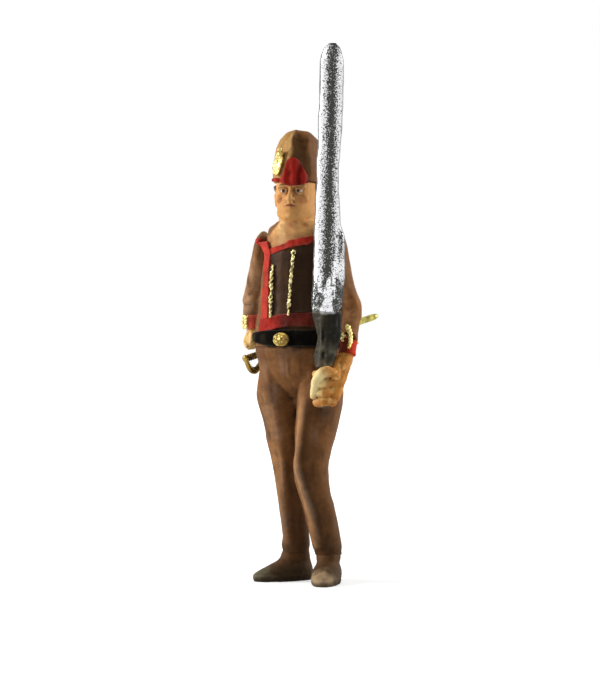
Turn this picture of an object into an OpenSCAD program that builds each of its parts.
// Painted toy soldier figure of cast pieces that plug together on round pegs.
// It stands on the floor and faces -Y, with its left side at +X and the origin under its body.

/* [Boots] */
// Heel to toe length of a boot
boot_length = 8.8; // [7.6:0.1:10]
// Width of a boot across the ball of the foot
boot_width = 4; // [3.4:0.1:4.4]
// Height of a boot from the floor to the trouser hem
boot_height = 3.6; // [3.2:0.1:4.6]
// Height of the toe cap
toe_height = 1.8; // [1.4:0.1:2.2]
// Distance of the heel behind the ankle
heel_back = 2.5; // [2.1:0.1:3]
// Outward turn of the left foot in degrees
left_toe_out = 18; // [0:1:30]
// Outward turn of the right foot in degrees
right_toe_out = 40; // [15:1:50]
// Radius of the peg between a boot and its leg
ankle_peg_radius = 0.8; // [0.6:0.05:1.1]
// Depth of that peg in the boot
ankle_peg_depth = 1.6; // [1:0.1:2]

/* [Trousers] */
// Height of the waist, where the trousers meet the tunic
waist_height = 31.8; // [29:0.2:34]
// Height of the crotch
crotch_height = 25.6; // [24:0.2:27]
// Height of the knees
knee_height = 15.4; // [13.4:0.2:17]
// Width of the hips
hip_width = 12.2; // [11.2:0.1:13.2]
// Depth of the hips from front to back
hip_depth = 9; // [8.2:0.1:9.8]
// Width of a thigh
thigh_width = 6; // [5.4:0.1:6.5]
// Depth of a thigh from front to back
thigh_depth = 7.4; // [6.6:0.1:8]
// Width of a trouser leg at the knee
knee_width = 4.7; // [4.2:0.1:5.3]
// Depth of a trouser leg at the knee
knee_depth = 4.8; // [4.3:0.1:5.4]
// Width of a trouser leg at the hem
hem_width = 3.8; // [3.4:0.1:4.4]
// Depth of a trouser leg at the hem
hem_depth = 4; // [3.6:0.1:4.6]
// Sideways place of the left ankle
left_ankle_side = 3.3; // [2.8:0.1:3.8]
// Place of the left ankle behind the body axis
left_ankle_back = 2; // [1:0.1:3]
// Sideways place of the left knee
left_knee_side = 2.5; // [2.1:0.1:3.2]
// Place of the left knee behind the body axis, in front when negative
left_knee_back = -1.7; // [-2.4:0.1:0]
// Sideways place of the right ankle
right_ankle_side = -1.9; // [-3:0.1:-1.6]
// Place of the right ankle behind the body axis
right_ankle_back = 2.4; // [1:0.1:3]
// Sideways place of the right knee
right_knee_side = -2.2; // [-3:0.1:-1.8]
// Place of the right knee behind the body axis
right_knee_back = 0.7; // [-0.4:0.1:1.6]
// Radius of the waist pin that the tunic turns on
waist_pin_radius = 2; // [1.5:0.1:2.6]
// Height of the waist pin
waist_pin_length = 3.4; // [2.4:0.1:4.4]

/* [Tunic] */
// Height of the tunic from the waist to the neck
tunic_height = 16.2; // [15.8:0.1:17]
// How far the tunic's waist stands out beyond the hips at each side
tunic_ease_side = 0.3; // [0.1:0.05:0.5]
// How far the tunic's waist stands out beyond the hips at the front and back
tunic_ease_front = 0.1; // [0.05:0.05:0.4]
// Height of the ribs above the waist
ribs_rise = 6.4; // [5.4:0.1:7.4]
// Height of the widest part of the chest above the waist
chest_rise = 10.4; // [9.4:0.1:11.4]
// Width of the chest
chest_width = 10.6; // [10:0.1:11]
// Depth of the chest
chest_depth = 8.6; // [7.8:0.1:9.4]
// Width between the flat seats of the two arms
shoulder_width = 8.4; // [8:0.1:9]
// Height of the shoulder pegs above the waist
shoulder_rise = 14.3; // [13.9:0.1:14.6]
// Width of the tunic at the neck opening
collar_width = 5.6; // [5:0.1:6.2]
// Depth of the tunic at the neck opening
collar_depth = 5.4; // [5:0.1:6]

/* [Trim] */
// Height of the belt
belt_height = 2.1; // [1.6:0.1:2.6]
// Thickness of the belt
belt_thickness = 0.4; // [0.3:0.05:0.6]
// Radius of the round buckle
buckle_radius = 1.2; // [0.9:0.05:1.5]
// Thickness of the buckle
buckle_thickness = 0.6; // [0.4:0.05:0.9]
// Width of the red piping
piping_width = 1; // [0.6:0.05:1.2]
// Height of the red hem band
hem_band_height = 1.8; // [1.4:0.1:2.4]
// Gap between the belt and the red hem band
hem_band_gap = 0.3; // [0.2:0.1:1]
// Thickness of the piping
piping_thickness = 0.35; // [0.25:0.05:0.5]
// Width of the gold lace
lace_width = 0.55; // [0.4:0.05:0.8]
// Thickness of the gold lace
lace_thickness = 0.5; // [0.4:0.05:0.7]
// Thickness of the dark chest panel
panel_thickness = 0.2; // [0.15:0.05:0.3]
// Height of the panel's right corner above the waist
panel_rise = 13.7; // [13.2:0.1:14.4]
// How much higher the panel's left corner is
panel_slope = 1.2; // [0.4:0.1:1.5]

/* [Head and cap] */
// Width of the neck
neck_width = 4.8; // [4.2:0.1:5.2]
// Place of the neck in front of the body axis
neck_forward = 1; // [0.6:0.1:1.2]
// Height of the head from the tunic to the cap
head_height = 5.8; // [5.4:0.1:6.6]
// Width of the head
head_width = 5.4; // [5:0.1:6]
// Depth of the head
head_depth = 6.2; // [5.6:0.1:6.8]
// Turn of the head towards the left at rest in degrees
head_turn = 14; // [0:1:25]
// Radius of the neck peg
neck_peg_radius = 1.1; // [0.9:0.05:1.4]
// Length of the neck peg
neck_peg_length = 3; // [2:0.1:4]
// Height of the cap
cap_height = 7.2; // [6.2:0.1:8]
// Width of the cap at its rim
cap_width = 6.2; // [5.8:0.1:6.8]
// Depth of the cap at its rim
cap_depth = 7; // [6.6:0.1:7.6]
// How far the top of the cap leans back
cap_lean = 0.9; // [0.3:0.1:1.4]
// Radius of the peg that holds the cap
cap_peg_radius = 0.9; // [0.7:0.05:1.2]
// Length of the peg that holds the cap
cap_peg_length = 2.4; // [1.6:0.1:3.2]
// Height of the red flap on the cap
flap_height = 3.9; // [3.2:0.1:4.4]
// Height of the gold badge on the cap
badge_height = 3.4; // [2.6:0.1:3.8]

/* [Arms] */
// Thickness of a sleeve at the shoulder
sleeve_width = 3; // [2.8:0.1:3.3]
// Thickness of a sleeve at the wrist
sleeve_end_width = 2.4; // [2.2:0.1:2.6]
// Drop of the left elbow below the shoulder
left_upper_arm = 9.2; // [8.6:0.1:9.8]
// Drop of the left wrist below the elbow
left_forearm = 5.6; // [4.8:0.1:6.2]
// How far the left wrist reaches forward of the elbow
left_reach = 1.9; // [1.4:0.1:2.6]
// Drop of the right elbow below the shoulder
right_upper_arm = 7.2; // [6.8:0.1:7.8]
// Drop of the right wrist below the elbow
right_forearm = 4; // [3.6:0.1:4.6]
// How far the right elbow stands behind the shoulder
right_elbow_back = 1.5; // [0.8:0.1:2.2]
// Length of a cuff along the arm
cuff_length = 2; // [1.6:0.1:2.4]
// Radius of a cuff
cuff_radius = 1.3; // [1.2:0.05:1.45]
// Thickness of the lace on a cuff
cuff_lace_thickness = 0.2; // [0.15:0.05:0.35]
// Width of the lace on a cuff
cuff_lace_width = 1.1; // [0.7:0.1:1.4]
// Radius of the shoulder pegs
shoulder_peg_radius = 0.9; // [0.7:0.05:1.2]
// Length of a shoulder peg inside the tunic
shoulder_peg_length = 2.2; // [1.6:0.1:2.8]
// Radius of the wrist pegs
wrist_peg_radius = 0.6; // [0.45:0.05:0.8]

/* [Hands] */
// Drop of the left fist's middle below the wrist
fist_drop = 4.9; // [4.4:0.1:5.4]
// Height of the left fist along the sword
fist_height = 5.2; // [4.4:0.1:5.6]
// Width of the left fist
fist_width = 3.1; // [2.8:0.1:3.4]
// Length of the right hand below its cuff
right_hand_length = 3.4; // [3:0.1:3.8]
// Width of the right hand
right_hand_width = 2; // [1.8:0.1:2.3]

/* [Sword] */
// Length of the blade above its collar
blade_length = 34.8; // [30:0.2:38]
// Width of the blade
blade_width = 3.9; // [3:0.1:4.2]
// Thickness of the blade
blade_thickness = 1.4; // [1:0.1:1.8]
// Height of the collar between grip and blade
collar_height = 0.9; // [0.6:0.1:1.4]
// Length of the grip above the fist
sword_grip_length = 7.3; // [6.4:0.1:8.4]
// Width of the grip at the collar
sword_grip_width = 3.6; // [3:0.1:3.8]
// Depth of the grip at the collar
sword_grip_depth = 2.1; // [1.6:0.1:2.4]
// Radius of the peg that sits in the fist
sword_peg_radius = 0.7; // [0.5:0.05:0.9]
// Radius of the tang that sits in the grip
sword_tang_radius = 0.5; // [0.35:0.05:0.6]
// Lean of the sword away from the body in degrees
sword_out = 0.7; // [0:0.1:3]
// Lean of the sword to the back in degrees
sword_back = 1.8; // [0:0.2:2.6]
// Turn of the blade's flat side to the left in degrees
blade_turn = 12; // [0:1:25]
// How far the sword stands inboard of the widest part of the waist
sword_inset = 0.6; // [0.2:0.1:1.2]

/* [Sabre] */
// Length of the scabbard
scabbard_length = 19; // [15:0.5:22]
// Radius of the scabbard at its mouth
scabbard_radius = 0.55; // [0.5:0.05:0.6]
// Radius of the knuckle bow, half the length of the hilt
bow_radius = 1.6; // [1.4:0.1:1.8]
// Radius of the bar of the knuckle bow
bow_bar_radius = 0.33; // [0.24:0.01:0.38]
// Radius of the sabre's grip
sabre_grip_radius = 0.45; // [0.4:0.05:0.55]
// Width of the sabre's blade
sabre_blade_width = 0.64; // [0.5:0.02:0.7]
// Thickness of the sabre's blade
sabre_blade_thickness = 0.3; // [0.2:0.02:0.36]
// Turn of the sabre inwards behind the body in degrees
sabre_turn = 33; // [28:1:38]
// Rise of the sabre towards its tip in degrees
sabre_rise = 16; // [8:1:20]

/* [Fits] */
// Radial clearance of a peg that turns or slides
peg_clearance = 0.05; // [0.02:0.01:0.1]
// Gap between two faces that pass each other
face_gap = 0.1; // [0.06:0.01:0.2]
// Gap under trim that lies on a curved surface
trim_gap = 0.06; // [0.04:0.01:0.1]
// Gap between an arm and the body beside it
arm_gap = 0.2; // [0.15:0.05:0.5]

/* [Hidden] */
$fn = 48;
SIDES = 28;
LIMB_SIDES = 22;
FRONT = -90;

// Paint colours
BROWN = "#7d5537";
DARK_BROWN = "#32231c";
RED = "#b03024";
GOLD = "#c8b45a";
SKIN = "#d7a569";
BLACK = "#1c1b1a";
BOOT_BROWN = "#5a4a3a";
SILVER = "#c8c8c8";
CHARCOAL = "#373837";

// Waist of the tunic, which the belt lies on
tunic_waist_width = hip_width + 2 * tunic_ease_side;
tunic_waist_depth = hip_depth + 2 * tunic_ease_front;

// Levels above the floor
tunic_z = waist_height + face_gap;
neck_z = tunic_z + tunic_height;
shoulder_z = tunic_z + shoulder_rise;
belt_low = tunic_z + 0.2;
belt_high = belt_low + belt_height;
head_z = neck_z + face_gap;
rim_z = head_z + head_height + face_gap;

// Half sizes of the belted waist, the widest part that the hands hang beside
waist_side = tunic_waist_width / 2 + trim_gap + belt_thickness;
waist_front = tunic_waist_depth / 2 + trim_gap + belt_thickness;

// Joints and pegs of the arms, with the left arm at +X
shoulder_side = shoulder_width / 2 + face_gap + sleeve_width / 2;
sleeve_elbow_radius = (sleeve_width + sleeve_end_width) / 4;
arm_side = waist_side + arm_gap + cuff_radius;
left_shoulder = [shoulder_side, 0, shoulder_z];
left_elbow = [arm_side - 0.2, -0.4, shoulder_z - left_upper_arm];
left_wrist = [arm_side, left_elbow.y - left_reach, left_elbow.z - left_forearm];
right_shoulder = [-shoulder_side, 0, shoulder_z];
right_elbow = [-arm_side - 0.1, right_elbow_back, shoulder_z - right_upper_arm];
right_wrist = [-arm_side, right_elbow_back + 0.2, right_elbow.z - right_forearm];

// Place of the left fist, where the sword stands
fist = [waist_side - sword_inset, -waist_front - 0.1, left_wrist.z - fist_drop];

// Middle of the sabre's grip, under the right hand
sabre_drop = 0.55;
sabre_hand = [
    right_wrist.x + 0.1,
    right_wrist.y - 0.3,
    right_wrist.z - right_hand_length - sabre_grip_radius - sabre_drop
];
disc_thickness = 0.35;
scabbard_start = bow_radius + disc_thickness + 0.1;

// Outline of the tunic from the waist up: side, back, height, half width, half depth
TUNIC = [
    [0, 0, tunic_z, tunic_waist_width / 2, tunic_waist_depth / 2],
    [0, 0, belt_high + 0.2, tunic_waist_width / 2, tunic_waist_depth / 2],
    [0, -0.1, tunic_z + ribs_rise, (tunic_waist_width + chest_width) / 4 - 0.1, chest_depth / 2 + 0.05],
    [0, -0.1, tunic_z + chest_rise, chest_width / 2, chest_depth / 2],
    [0, 0, shoulder_z, shoulder_width / 2 + 0.6, chest_depth / 2 - 0.5],
    [0, -neck_forward / 2, neck_z - 0.9, shoulder_width / 2 + 0.1, collar_depth / 2 + 0.4],
    [0, -neck_forward / 2, neck_z, collar_width / 2, collar_depth / 2]
];

// Outline of the cap in the head's own frame, from the rim up
CAP = [
    [0, 0, 0, cap_width / 2, cap_depth / 2],
    [0, 0, cap_height * 0.25, cap_width / 2 + 0.1, cap_depth / 2 + 0.1],
    [0, cap_lean * 0.3, cap_height * 0.55, cap_width / 2 - 0.1, cap_depth / 2 - 0.2],
    [0, cap_lean * 0.7, cap_height * 0.82, cap_width / 2 - 0.7, cap_depth / 2 - 0.8],
    [0, cap_lean, cap_height * 0.96, cap_width / 2 - 1.6, cap_depth / 2 - 1.7],
    [0, cap_lean, cap_height, cap_width / 2 - 2.5, cap_depth / 2 - 2.7]
];

// Curves and lofts

function unit(v) = v / norm(v);

function place(s) = [s[0], s[1], s[2]];

// Smooth value at t through a list of points
function spline(list, t) =
    let (
        last = len(list) - 1,
        i = min(floor(t), last - 1),
        f = t - i,
        a = list[max(i - 1, 0)],
        b = list[i],
        c = list[i + 1],
        d = list[min(i + 2, last)]
    )
    (2 * b + (c - a) * f + (2 * a - 5 * b + 4 * c - d) * f * f + (3 * b - a - 3 * c + d) * f * f * f) / 2;

// Section of an upright form at t, with its height in equal steps between the stations
function upright_at(list, t) =
    let (
        i = min(floor(t), len(list) - 2),
        s = spline(list, t)
    )
    [s[0], s[1], list[i][2] + (list[i + 1][2] - list[i][2]) * (t - i), s[3], s[4]];

// Section of an upright form at height z
function at_height(list, z) =
    let (i = max([for (k = [0 : len(list) - 2]) if (k == 0 || list[k][2] <= z) k]))
    upright_at(list, i + (z - list[i][2]) / (list[i + 1][2] - list[i][2]));

// Point on an upright form, raised by lift
function on_surface(list, angle, z, lift) =
    let (s = at_height(list, z))
    [s[0] + (s[3] + lift) * cos(angle), s[1] + (s[4] + lift) * sin(angle), z];

function upright_rings(list, steps, sides) = [
    for (k = [0 : steps])
        let (s = upright_at(list, (len(list) - 1) * k / steps))
        [
            for (j = [0 : sides - 1])
                let (angle = 360 * j / sides)
                place(s) + [s[3] * cos(angle), s[4] * sin(angle), 0]
        ]
];

// Rings square to a path through the stations, listed from the lower end up
function limb_rings(list, steps, sides) = [
    for (k = [0 : steps])
        let (
            last = len(list) - 1,
            t = last * k / steps,
            s = spline(list, t),
            way = unit(place(spline(list, min(t + 0.02, last))) - place(spline(list, max(t - 0.02, 0)))),
            u = unit([1, 0, 0] - way * way.x),
            v = cross(way, u)
        )
        [
            for (j = [0 : sides - 1])
                let (angle = 360 * j / sides)
                place(s) + u * s[3] * cos(angle) + v * s[4] * sin(angle)
        ]
];

// Closed solid through rings of points
module loft(rings) {
    n = len(rings[0]);
    last = len(rings) - 1;
    polyhedron(
        points = [for (r = rings) each r],
        faces = [
            for (i = [0 : last - 1])
                for (j = [0 : n - 1])
                    let (a = i * n + j, b = i * n + (j + 1) % n)
                    each [[a, a + n, b + n], [a, b + n, b]],
            [for (j = [0 : n - 1]) j],
            [for (j = [n - 1 : -1 : 0]) last * n + j]
        ],
        convexity = 4
    );
}

module upright(list, steps, sides = SIDES) {
    loft(upright_rings(list, steps, sides));
}

module limb(list, steps, sides = LIMB_SIDES) {
    loft(limb_rings(list, steps, sides));
}

// Plate that follows an upright form between two edges, each a list of [angle, height]
module patch(list, low_edge, high_edge, lift, thickness, columns, rows) {
    first = low_edge[0][0];
    span = low_edge[len(low_edge) - 1][0] - first;
    closed = span >= 360;
    used = closed ? columns : columns + 1;
    layer = used * (rows + 1);
    points = [
        for (k = [0 : 1])
            for (i = [0 : used - 1])
                let (
                    angle = first + span * i / columns,
                    low = lookup(angle, low_edge),
                    high = lookup(angle, high_edge)
                )
                for (j = [0 : rows])
                    on_surface(list, angle, low + (high - low) * j / rows, lift + k * thickness)
    ];
    function at(k, i, j) = k * layer + (i % used) * (rows + 1) + j;
    skin = [
        for (i = [0 : columns - 1])
            for (j = [0 : rows - 1])
                each [
                    [at(1, i, j), at(1, i, j + 1), at(1, i + 1, j + 1)],
                    [at(1, i, j), at(1, i + 1, j + 1), at(1, i + 1, j)],
                    [at(0, i, j), at(0, i + 1, j + 1), at(0, i, j + 1)],
                    [at(0, i, j), at(0, i + 1, j), at(0, i + 1, j + 1)]
                ]
    ];
    rims = [
        for (i = [0 : columns - 1])
            each [
                [at(1, i, 0), at(1, i + 1, 0), at(0, i + 1, 0)],
                [at(1, i, 0), at(0, i + 1, 0), at(0, i, 0)],
                [at(1, i + 1, rows), at(1, i, rows), at(0, i, rows)],
                [at(1, i + 1, rows), at(0, i, rows), at(0, i + 1, rows)]
            ]
    ];
    ends = closed ? [] : [
        for (j = [0 : rows - 1])
            each [
                [at(1, 0, j + 1), at(1, 0, j), at(0, 0, j)],
                [at(1, 0, j + 1), at(0, 0, j), at(0, 0, j + 1)],
                [at(1, columns, j), at(1, columns, j + 1), at(0, columns, j + 1)],
                [at(1, columns, j), at(0, columns, j + 1), at(0, columns, j)]
            ]
    ];
    polyhedron(points = points, faces = [each skin, each rims, each ends], convexity = 4);
}

// Upright strip of a given width at one angle of the tunic
module strip(angle, width, low, high, lift, thickness) {
    half = width / 2 / (at_height(TUNIC, (low + high) / 2)[3]) * 180 / PI;
    patch(
        TUNIC,
        [[angle - half, low], [angle + half, low]],
        [[angle - half, high], [angle + half, high]],
        lift, thickness, 2, 10
    );
}

// Places the children with their +Z along a direction
module along(point, way) {
    translate(point)
        rotate([0, acos(way.z / norm(way)), atan2(way.y, way.x)])
            children();
}

// Legs

module leg(side_sign, ankle, knee) {
    hip_side = side_sign * (hip_width - thigh_width) / 2;
    hem = [ankle.x, ankle.y, boot_height + face_gap, hem_width / 2, hem_depth / 2];
    bend = [knee.x, knee.y, knee_height, knee_width / 2, knee_depth / 2];
    top = [hip_side, 0, crotch_height, thigh_width / 2, thigh_depth / 2];
    hip = [hip_side - side_sign * 0.6, 0, waist_height - 1, thigh_width / 2 - 0.4, thigh_depth / 2];
    calf = (hem + bend) / 2 + [0, 0.1, 0, 0, 0];
    thigh = (bend + top) / 2 + [0, 0, 0, 0.1, 0.2];
    upright([hem, calf, bend, thigh, top, hip], 20, LIMB_SIDES);
}

module ankle_peg(ankle) {
    translate([ankle.x, ankle.y, boot_height - ankle_peg_depth])
        cylinder(r = ankle_peg_radius, h = ankle_peg_depth + 1.2);
}

module trousers() {
    left_ankle = [left_ankle_side, left_ankle_back];
    right_ankle = [right_ankle_side, right_ankle_back];
    color(BROWN)
        union() {
            leg(1, left_ankle, [left_knee_side, left_knee_back]);
            leg(-1, right_ankle, [right_knee_side, right_knee_back]);
            upright([
                [0, 0, crotch_height - 0.4, hip_width / 2 - 4.4, thigh_depth / 2 - 1.6],
                [0, 0, crotch_height + 0.9, hip_width / 2 - 2.6, thigh_depth / 2 - 0.4],
                [0, 0, crotch_height + 2.8, hip_width / 2 - 0.4, hip_depth / 2 - 0.35],
                [0, 0, waist_height, hip_width / 2, hip_depth / 2]
            ], 9);
            translate([0, 0, waist_height - 1])
                cylinder(r = waist_pin_radius, h = waist_pin_length + 1);
            ankle_peg(left_ankle);
            ankle_peg(right_ankle);
        }
}

// Boot at its ankle, with the toe turned out
module boot(ankle, turn) {
    half_width = boot_width / 2;
    half_length = boot_length / 2;
    sole_middle = heel_back - half_length;
    instep_height = (toe_height + boot_height) / 2;
    color(BOOT_BROWN)
        translate([ankle.x, ankle.y, 0])
            rotate([0, 0, turn])
                difference() {
                    upright([
                        [0, sole_middle, 0, half_width - 0.15, half_length - 0.15],
                        [0, sole_middle, toe_height * 0.45, half_width, half_length],
                        [0, sole_middle + 0.7, toe_height, half_width - 0.1, half_length - 0.9],
                        [0, sole_middle / 5, instep_height, half_width - 0.45, half_length - 1.95],
                        [0, 0, boot_height, hem_width / 2 - 0.1, hem_depth / 2 - 0.1]
                    ], 12);
                    translate([0, 0, boot_height - ankle_peg_depth - face_gap])
                        cylinder(r = ankle_peg_radius + peg_clearance, h = ankle_peg_depth + 1);
                }
}

module left_boot() {
    boot([left_ankle_side, left_ankle_back], left_toe_out);
}

module right_boot() {
    boot([right_ankle_side, right_ankle_back], -right_toe_out);
}

// Torso

// Flat seat that widens outwards to clear the upper arm, with the bore of the shoulder peg
module shoulder_socket(side_sign) {
    seat = shoulder_width / 2;
    seat_radius = sleeve_width / 2 + 0.9;
    seat_depth = 4;
    widening = 2;
    translate([side_sign * seat, 0, shoulder_z])
        rotate([0, side_sign * 90, 0]) {
            cylinder(r1 = seat_radius, r2 = seat_radius + widening * seat_depth, h = seat_depth);
            translate([0, 0, -shoulder_peg_length - face_gap])
                cylinder(r = shoulder_peg_radius + peg_clearance, h = shoulder_peg_length + 1);
        }
}

module tunic() {
    color(BROWN)
        difference() {
            upright(TUNIC, 24);
            shoulder_socket(1);
            shoulder_socket(-1);
            translate([0, 0, tunic_z - 1])
                cylinder(r = waist_pin_radius + peg_clearance, h = waist_pin_length + 1 + face_gap);
            translate([0, -neck_forward, neck_z - neck_peg_length - face_gap])
                cylinder(r = neck_peg_radius + peg_clearance, h = neck_peg_length + 1);
        }
}

// Corners of the dark chest panel: angles from the front and levels
panel_right = FRONT - 38;
panel_left = FRONT + 50;
panel_low = belt_high + hem_band_gap + hem_band_height + trim_gap;
panel_notch = tunic_z + panel_rise;
panel_top = [
    [panel_right, panel_notch],
    [FRONT - 26, panel_notch - 0.2],
    [panel_left, panel_notch + panel_slope]
];

module chest_panel() {
    margin = 6;
    color(DARK_BROWN)
        patch(
            TUNIC,
            [[panel_right + margin, panel_low], [panel_left - margin, panel_low]],
            [for (p = panel_top) [p[0] < FRONT ? p[0] + margin : p[0] - margin, p[1] - piping_width]],
            trim_gap, panel_thickness, 8, 8
        );
}

// Piping from the right shoulder down the edge of the panel
module front_piping() {
    color(RED)
        strip(panel_right, piping_width, panel_low, panel_notch + 0.6, trim_gap, piping_thickness);
}

// Piping across the top of the panel
module neck_piping() {
    edge = [for (p = panel_top) [p[0] == panel_right ? p[0] + 6 : p[0] - 6, p[1]]];
    color(RED)
        patch(
            TUNIC,
            [for (p = edge) [p[0], p[1] - piping_width + trim_gap]],
            edge,
            trim_gap, piping_thickness, 12, 2
        );
}

// Piping down the left edge of the panel
module side_piping() {
    color(RED)
        strip(panel_left, piping_width, panel_low, panel_notch + panel_slope, trim_gap, piping_thickness);
}

// Red band above the belt, across the front
module hem_piping() {
    low = belt_high + hem_band_gap;
    color(RED)
        patch(
            TUNIC,
            [[panel_right - 6, low], [panel_left + 6, low]],
            [[panel_right - 6, low + hem_band_height], [panel_left + 6, low + hem_band_height]],
            trim_gap, piping_thickness, 12, 2
        );
}

// Gold lace lies on the panel
module panel_lace(angle, low, high) {
    color(GOLD)
        strip(angle, lace_width, low, high, 2 * trim_gap + panel_thickness, lace_thickness);
}

module side_lace() {
    panel_lace(FRONT - 18, panel_low + 0.6, panel_notch - piping_width - 0.7);
}

module centre_lace() {
    panel_lace(FRONT + 11, panel_low + 0.6, panel_notch - piping_width - 0.2);
}

module belt() {
    color(BLACK)
        patch(
            TUNIC,
            [[0, belt_low], [360, belt_low]],
            [[0, belt_high], [360, belt_high]],
            trim_gap, belt_thickness, 44, 2
        );
}

module buckle() {
    color(GOLD)
        translate([0, -tunic_waist_depth / 2 - 2 * trim_gap - belt_thickness, (belt_low + belt_high) / 2])
            rotate([90, 0, 0])
                rotate_extrude() {
                    square([buckle_radius, buckle_thickness * 0.5]);
                    square([buckle_radius * 0.7, buckle_thickness]);
                }
}

// Sabre, in its own frame with +Y towards the tip

module sabre_frame() {
    translate(sabre_hand)
        rotate([0, 0, -sabre_turn])
            rotate([sabre_rise, 0, 0])
                children();
}

module rod(start, length, radius) {
    translate([0, start, 0])
        rotate([-90, 0, 0])
            cylinder(r = radius, h = length);
}

frog_place = scabbard_start + 1.6;
frog_length = 1.3;
frog_wall = 0.25;
tang_radius = 0.2;

// Point of the scabbard that the frog holds
function frog_point() =
    sabre_hand + frog_place * [
        sin(sabre_turn) * cos(sabre_rise),
        cos(sabre_turn) * cos(sabre_rise),
        sin(sabre_rise)
    ];

// Loop round the scabbard with a strap that lies on the belt
module sabre_frog() {
    point = frog_point();
    angle = atan2(point.y / waist_front, point.x / waist_side);
    half = 7;
    strap_lift = 2 * trim_gap + belt_thickness;
    loop_radius = scabbard_radius + peg_clearance + frog_wall;
    reach = norm([point.x, point.y]) - norm([waist_side * cos(angle), waist_front * sin(angle)]);
    color(BLACK)
        difference() {
            union() {
                sabre_frame()
                    rod(frog_place - frog_length / 2, frog_length, loop_radius);
                patch(
                    TUNIC,
                    [[angle - half, belt_low], [angle + half, belt_low]],
                    [[angle - half, belt_high], [angle + half, belt_high]],
                    strap_lift, max(frog_wall, reach - scabbard_radius + 0.1), 3, 2
                );
            }
            sabre_frame()
                rod(0, scabbard_length, scabbard_radius + trim_gap);
        }
}

module scabbard() {
    slot_width = sabre_blade_width + 2 * peg_clearance;
    slot_thickness = sabre_blade_thickness + 2 * peg_clearance;
    color(GOLD)
        sabre_frame()
            difference() {
                translate([0, scabbard_start, 0])
                    rotate([-90, 0, 0])
                        rotate_extrude()
                            polygon([
                                [0, 0],
                                [scabbard_radius, 0],
                                [scabbard_radius, 8],
                                [scabbard_radius - 0.13, scabbard_length - 0.5],
                                [scabbard_radius - 0.3, scabbard_length],
                                [0, scabbard_length]
                            ]);
                translate([-slot_thickness / 2, scabbard_start - 1, -slot_width / 2])
                    cube([slot_thickness, scabbard_length - 3.6, slot_width]);
            }
}

// Pommel, knuckle bow and guard disc in one casting
module sabre_hilt() {
    grip_start = -bow_radius + sabre_grip_radius;
    color(GOLD)
        sabre_frame()
            difference() {
                union() {
                    rotate([0, 90, 0])
                        rotate([0, 0, -90])
                            rotate_extrude(angle = 180)
                                translate([bow_radius, 0])
                                    circle(r = bow_bar_radius);
                    translate([0, -bow_radius, 0])
                        sphere(r = sabre_grip_radius + 0.1);
                    rod(bow_radius, disc_thickness, sabre_grip_radius + 0.2);
                }
                rod(-bow_radius, 3 * bow_radius, tang_radius + peg_clearance);
                rod(grip_start, bow_radius - grip_start, sabre_grip_radius + trim_gap);
            }
}

module sabre_grip() {
    start = -bow_radius + sabre_grip_radius + trim_gap;
    color(DARK_BROWN)
        sabre_frame()
            difference() {
                rod(start, bow_radius - trim_gap - start, sabre_grip_radius);
                rod(start - 1, 2 * bow_radius + 2, tang_radius + peg_clearance);
            }
}

module sabre_blade() {
    start = bow_radius + disc_thickness + peg_clearance;
    color(SILVER)
        sabre_frame() {
            rod(-bow_radius + 0.2, scabbard_start + bow_radius, tang_radius);
            translate([-sabre_blade_thickness / 2, start, -sabre_blade_width / 2])
                cube([sabre_blade_thickness, scabbard_length - 5, sabre_blade_width]);
        }
}

// Head and cap share a frame at the neck, turned to the left

module head_frame(level) {
    translate([0, -neck_forward, level])
        rotate([0, 0, head_turn])
            children();
}

module head() {
    half_width = head_width / 2;
    half_depth = head_depth / 2;
    color(SKIN)
        head_frame(head_z)
            union() {
                upright([
                    [0, 0, 0, neck_width / 2, neck_width / 2],
                    [0, 0, head_height * 0.07, neck_width / 2 - 0.1, neck_width / 2],
                    [0, -0.6, head_height * 0.17, half_width - 0.7, half_depth - 0.5],
                    [0, -0.5, head_height * 0.36, half_width - 0.25, half_depth - 0.05],
                    [0, -0.2, head_height * 0.7, half_width, half_depth],
                    [0, -0.1, head_height, half_width, half_depth]
                ], 15);
                hull() {
                    translate([0, -half_depth - 0.1, head_height * 0.76])
                        sphere(r = 0.3, $fn = 14);
                    translate([0, -half_depth - 0.55, head_height * 0.52])
                        sphere(r = 0.42, $fn = 14);
                }
                for (side = [-1, 1])
                    hull() {
                        translate([side * (half_width + 0.05), 0.2, head_height * 0.52])
                            sphere(r = 0.35, $fn = 14);
                        translate([side * (half_width + 0.1), 0.35, head_height * 0.74])
                            sphere(r = 0.45, $fn = 14);
                    }
                translate([0, 0, -neck_peg_length])
                    cylinder(r = neck_peg_radius, h = neck_peg_length + 1);
                translate([0, 0, head_height - 1])
                    cylinder(r = cap_peg_radius, h = cap_peg_length + 1);
            }
}

module cap() {
    color(BROWN)
        head_frame(rim_z)
            difference() {
                upright(CAP, 18);
                translate([0, 0, -1])
                    cylinder(r = cap_peg_radius + peg_clearance, h = cap_peg_length + 1);
            }
}

module cap_flap() {
    middle = FRONT + 4;
    right_end = FRONT - 42;
    left_end = FRONT + 38;
    low = 0.1;
    side_high = 1;
    under_badge = 20;
    badge_side_high = 0.6;
    color(RED)
        head_frame(rim_z)
            patch(
                CAP,
                [[right_end, low], [left_end, low]],
                [
                    [right_end, badge_side_high],
                    [middle - under_badge, badge_side_high],
                    [middle, flap_height],
                    [left_end, side_high]
                ],
                trim_gap, piping_thickness, 14, 4
            );
}

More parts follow.
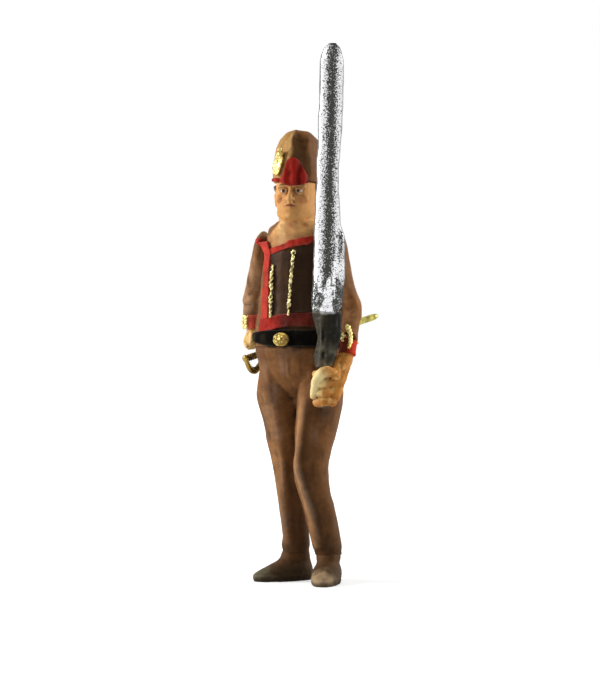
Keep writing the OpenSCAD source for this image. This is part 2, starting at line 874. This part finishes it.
module cap_badge() {
    middle = FRONT - 30;
    half = 13;
    low = 0.75;
    level = low + badge_height / 2;
    steps = 8;
    function rise(k) = badge_height / 2 * sqrt(max(0.06, 1 - pow(2 * k / steps - 1, 2)));
    color(GOLD)
        head_frame(rim_z)
            patch(
                CAP,
                [for (k = [0 : steps]) [middle + half * (2 * k / steps - 1), level - rise(k)]],
                [for (k = [0 : steps]) [middle + half * (2 * k / steps - 1), level + rise(k)]],
                trim_gap, lace_thickness, steps, 4
            );
}

// Arms

module sleeve(side_sign, shoulder, elbow, wrist) {
    way = unit(elbow - wrist);
    end = wrist + way * (cuff_length + face_gap);
    thick = sleeve_width / 2;
    seat = shoulder_width / 2 + face_gap;
    inboard = 2 * sleeve_width;
    color(BROWN)
        union() {
            difference() {
                limb([
                    [each end, sleeve_end_width / 2, sleeve_end_width / 2],
                    [each (end + (elbow - end) * 0.5), sleeve_elbow_radius - 0.05, sleeve_elbow_radius],
                    [each elbow, sleeve_elbow_radius, sleeve_elbow_radius + 0.1],
                    [each (elbow * 0.5 + shoulder * 0.5), thick - 0.05, thick + 0.15],
                    [each shoulder, thick, thick + 0.2],
                    [each (shoulder + [-side_sign * 0.25, 0, thick * 0.75]), thick * 0.75, thick * 0.8],
                    [each (shoulder + [-side_sign * 0.5, 0, thick * 1.05]), thick * 0.25, thick * 0.3]
                ], 22);
                translate([side_sign * (seat - inboard / 2), 0, shoulder.z])
                    cube([inboard, 2 * inboard, 2 * inboard], center = true);
                along(end, way)
                    translate([0, 0, -1])
                        cylinder(r = wrist_peg_radius + peg_clearance, h = 2.4);
            }
            translate([side_sign * (shoulder_width / 2 - shoulder_peg_length), 0, shoulder.z])
                rotate([0, side_sign * 90, 0])
                    cylinder(r = shoulder_peg_radius, h = shoulder_peg_length + face_gap + 1);
        }
}

module cuff(elbow, wrist) {
    color(RED)
        along(wrist, elbow - wrist)
            difference() {
                cylinder(r = cuff_radius, h = cuff_length);
                translate([0, 0, -1])
                    cylinder(r = wrist_peg_radius + peg_clearance, h = cuff_length + 2);
            }
}

// Lace round the outside of a cuff at the sleeve's end, open on the side of the body
module cuff_lace(elbow, wrist, body_angle) {
    way = elbow - wrist;
    opening = 110;
    color(GOLD)
        along(wrist, way)
            translate([0, 0, cuff_length - cuff_lace_width])
                rotate([0, 0, body_angle - atan2(way.y, way.x) + opening / 2])
                    rotate_extrude(angle = 360 - opening)
                        translate([cuff_radius + trim_gap, 0])
                            square([cuff_lace_thickness, cuff_lace_width]);
}

module wrist_peg(elbow, wrist) {
    along(wrist, elbow - wrist)
        translate([0, 0, -0.8])
            cylinder(r = wrist_peg_radius, h = cuff_length + 0.8 + 1);
}

module left_sleeve() {
    sleeve(1, left_shoulder, left_elbow, left_wrist);
}

module left_cuff() {
    cuff(left_elbow, left_wrist);
}

module left_cuff_lace() {
    cuff_lace(left_elbow, left_wrist, 180);
}

module right_sleeve() {
    sleeve(-1, right_shoulder, right_elbow, right_wrist);
}

module right_cuff() {
    cuff(right_elbow, right_wrist);
}

module right_cuff_lace() {
    cuff_lace(right_elbow, right_wrist, 0);
}

// Fist round the sword's peg, with a ridge for each finger, and the palm that joins it to the wrist
module left_hand() {
    way = unit(left_elbow - left_wrist);
    start = left_wrist - way * face_gap;
    fingers = 4;
    steps = 24;
    half = fist_width / 2;
    ridge = 0.09;
    function swell(t) = 1 - pow(abs(2 * t - 1), 4) * 0.35;
    color(SKIN)
        difference() {
            union() {
                limb([
                    [each (fist + [1, 0.3, -1.4]), half - 0.7, half - 0.5],
                    [each (fist + [1.1, 0.4, 0.2]), half - 0.3, half - 0.1],
                    [each (fist * 0.5 + start * 0.5 + [0.7, -0.3, -0.3]), half - 0.25, half - 0.2],
                    [each (start - way * 0.6), cuff_radius - 0.35, cuff_radius - 0.4],
                    [each start, cuff_radius - 0.4, cuff_radius - 0.4]
                ], 12);
                sword_frame()
                    loft([
                        for (k = [0 : steps])
                            let (
                                t = k / steps,
                                r = half * swell(t) + ridge * (abs(sin(180 * fingers * t)) - 1)
                            )
                            [
                                for (j = [0 : LIMB_SIDES - 1])
                                    let (angle = 360 * j / LIMB_SIDES)
                                    [r * cos(angle), r * sin(angle), fist_height * (t - 0.5)]
                            ]
                    ]);
                wrist_peg(left_elbow, left_wrist);
            }
            sword_frame() {
                translate([0, 0, -fist_height])
                    cylinder(r = sword_peg_radius + peg_clearance, h = 2 * fist_height);
                translate([0, 0, fist_height / 2])
                    cylinder(
                        r1 = sword_foot_radius + arm_gap,
                        r2 = sword_grip_width / 2 + arm_gap,
                        h = swell_height
                    );
            }
        }
}

module right_hand() {
    way = unit(right_elbow - right_wrist);
    start = right_wrist - way * face_gap;
    half = right_hand_width / 2;
    low = right_wrist + [0, -0.4, -right_hand_length];
    color(SKIN)
        union() {
            limb([
                [each low, half - 0.6, half - 0.5],
                [each (low + [0, 0, 0.35]), half - 0.2, half - 0.05],
                [each (low * 0.6 + start * 0.4), half - 0.05, half + 0.15],
                [each (start - way * 0.6), cuff_radius - 0.45, cuff_radius - 0.4],
                [each start, cuff_radius - 0.4, cuff_radius - 0.4]
            ], 14);
            wrist_peg(right_elbow, right_wrist);
        }
}

// Sword, in its own frame with +Z towards the tip

module sword_frame() {
    translate(fist)
        rotate([-sword_back, sword_out, 0])
            rotate([0, 0, blade_turn])
                children();
}

sword_grip_start = fist_height / 2 + face_gap;
sword_foot_radius = sword_peg_radius + 0.2;
swell_height = 3.6;
collar_start = sword_grip_start + sword_grip_length;
blade_start = collar_start + collar_height;
tang_depth = 2.6;

module sword_grip() {
    half_width = sword_grip_width / 2;
    half_depth = sword_grip_depth / 2;
    color(CHARCOAL)
        sword_frame()
            difference() {
                union() {
                    upright([
                        [0, 0, sword_grip_start, sword_foot_radius, sword_foot_radius],
                        [0, 0, sword_grip_start + 1.6, half_width - 0.55, half_depth - 0.2],
                        [0.15, 0, sword_grip_start + swell_height, half_width - 0.15, half_depth],
                        [0, 0, collar_start, half_width, half_depth]
                    ], 12);
                    translate([0, 0, -fist_height / 2])
                        cylinder(r = sword_peg_radius, h = fist_height + 1);
                }
                translate([0, 0, collar_start - tang_depth - face_gap])
                    cylinder(r = sword_tang_radius + peg_clearance, h = tang_depth + 1);
            }
}

module sword_collar() {
    half_width = sword_grip_width / 2;
    half_depth = sword_grip_depth / 2;
    color(SILVER)
        sword_frame()
            difference() {
                upright([
                    [0, 0, collar_start, half_width + 0.1, half_depth + 0.1],
                    [0, 0, collar_start + collar_height / 2, half_width + 0.3, half_depth + 0.15],
                    [0, 0, collar_start + collar_height, blade_width / 2 + 0.1, half_depth - 0.2]
                ], 6);
                translate([0, 0, collar_start - 1])
                    cylinder(r = sword_tang_radius + peg_clearance, h = collar_height + 2);
            }
}

module sword_blade() {
    half = blade_width / 2;
    thick = blade_thickness / 2;
    color(SILVER)
        sword_frame()
            union() {
                upright([
                    [0, 0, blade_start, half, thick],
                    [0, 0, blade_start + 8, half - 0.1, thick],
                    [0, 0, blade_start + blade_length * 0.6, half - 0.25, thick],
                    [0, 0, blade_start + blade_length - 2.4, half - 0.3, thick - 0.05],
                    [0, 0, blade_start + blade_length - 0.7, half - 0.75, thick - 0.2],
                    [0, 0, blade_start + blade_length, half - 1.45, thick - 0.5]
                ], 20, 20);
                translate([0, 0, blade_start - collar_height - tang_depth])
                    cylinder(r = sword_tang_radius, h = collar_height + tang_depth + 1);
            }
}

trousers();
left_boot();
right_boot();
tunic();
chest_panel();
front_piping();
neck_piping();
side_piping();
hem_piping();
side_lace();
centre_lace();
belt();
buckle();
sabre_frog();
scabbard();
sabre_hilt();
sabre_grip();
sabre_blade();
head();
cap();
cap_flap();
cap_badge();
left_sleeve();
left_cuff();
left_cuff_lace();
left_hand();
right_sleeve();
right_cuff();
right_cuff_lace();
right_hand();
sword_grip();
sword_collar();
sword_blade();
